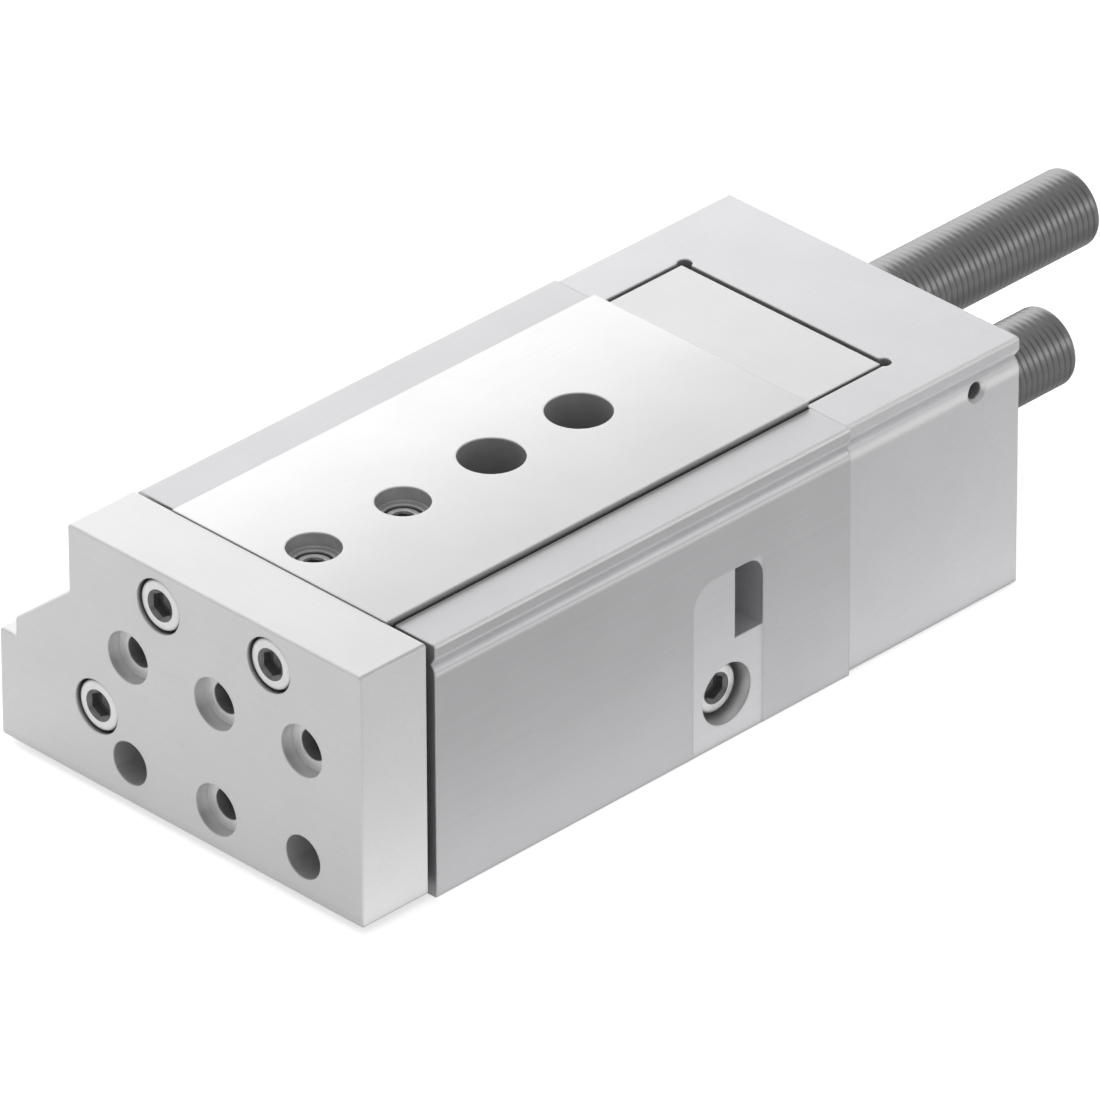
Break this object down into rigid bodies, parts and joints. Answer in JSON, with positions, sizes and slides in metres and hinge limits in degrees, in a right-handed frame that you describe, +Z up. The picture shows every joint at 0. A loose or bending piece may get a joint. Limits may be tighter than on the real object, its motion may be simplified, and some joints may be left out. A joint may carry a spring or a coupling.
{
  "type": "pneumatic slide table",
  "caption": "Compact air-driven slide table: a ground slide on ball guides in a milled housing, with a front yoke plate, a side cylinder and threaded shock absorbers at the rear.",
  "frame": {"origin": "centre of the base bolt pattern on the housing's underside", "axes": "+Z up, out of the slide's top; +Y to the rear, towards the shock absorbers; the table moves out along -Y; +X to the side with the clamp window"},
  "size_m": [0.0637, 0.161, 0.0363],
  "materials": {
    "housing_metal": "milled and brushed, satin",
    "cap_metal": "fine blasted, matte",
    "yoke_metal": "fine blasted, matte",
    "slide_steel": "ground",
    "rail_steel": "hardened and ground",
    "screw_steel": "plated",
    "absorber_steel": "dark, threaded",
    "block_metal": "milled, matte",
    "ball_steel": "polished",
    "cage_metal": "pressed",
    "bearing_bronze": "turned",
    "seal_rubber": "moulded",
    "magnet_black": "bonded magnet ring"
  },
  "bodies": {
    "base": {"housing": "housing_metal", "rear_cap": "cap_metal", "cap_screws": "screw_steel", "port_plugs": "screw_steel", "guide_rail_left": "rail_steel", "guide_rail_right": "rail_steel", "rod_bearing": "bearing_bronze", "rod_seal": "seal_rubber", "rod_wiper": "seal_rubber", "retaining_ring": "rail_steel", "cylinder_plug": "block_metal", "plug_seal": "seal_rubber", "fixed_absorber": "absorber_steel", "clamp_jaw": "rail_steel", "clamp_screw": "screw_steel", "travel_stop": "rail_steel", "travel_stop_screw": "screw_steel"},
    "table": {"slide": "slide_steel", "yoke_plate": "yoke_metal", "yoke_screws": "screw_steel", "rod_screw": "screw_steel", "slide_set_screws": "screw_steel", "piston_rod": "rail_steel", "piston": "block_metal", "piston_seal": "seal_rubber", "piston_magnet": "magnet_black", "end_block": "block_metal", "end_block_screws": "screw_steel", "stop_lug": "rail_steel", "stop_lug_screws": "screw_steel", "moving_absorber": "absorber_steel", "absorber_lock_nut": "screw_steel"},
    "left_cage": {"ball_cage_left": "cage_metal", "balls_left": "ball_steel"},
    "right_cage": {"ball_cage_right": "cage_metal", "balls_right": "ball_steel"},
    "fixed_plunger": {"fixed_absorber_plunger": "rail_steel"},
    "moving_plunger": {"moving_absorber_plunger": "rail_steel"}
  },
  "joints": [
    {"name": "table_slide", "type": "slide", "parent": "base", "child": "table", "axis": [0, -1, 0], "range_m": [0, 0.04]},
    {"name": "left_cage_slide", "type": "slide", "parent": "base", "child": "left_cage", "axis": [0, -1, 0], "range_m": [0, 0.02]},
    {"name": "right_cage_slide", "type": "slide", "parent": "base", "child": "right_cage", "axis": [0, -1, 0], "range_m": [0, 0.02]},
    {"name": "fixed_plunger_slide", "type": "slide", "parent": "base", "child": "fixed_plunger", "axis": [0, -1, 0], "range_m": [0, 0.008]},
    {"name": "moving_plunger_slide", "type": "slide", "parent": "table", "child": "moving_plunger", "axis": [0, 1, 0], "range_m": [0, 0.008]}
  ],
  "couplings": [
    {"joint": "left_cage_slide", "follows": "table_slide", "ratio": 0.5},
    {"joint": "right_cage_slide", "follows": "table_slide", "ratio": 0.5},
    {"joint": "fixed_plunger_slide", "follows": "table_slide", "ratio": 0.2},
    {"joint": "moving_plunger_slide", "follows": "table_slide", "ratio": 0.2}
  ]
}
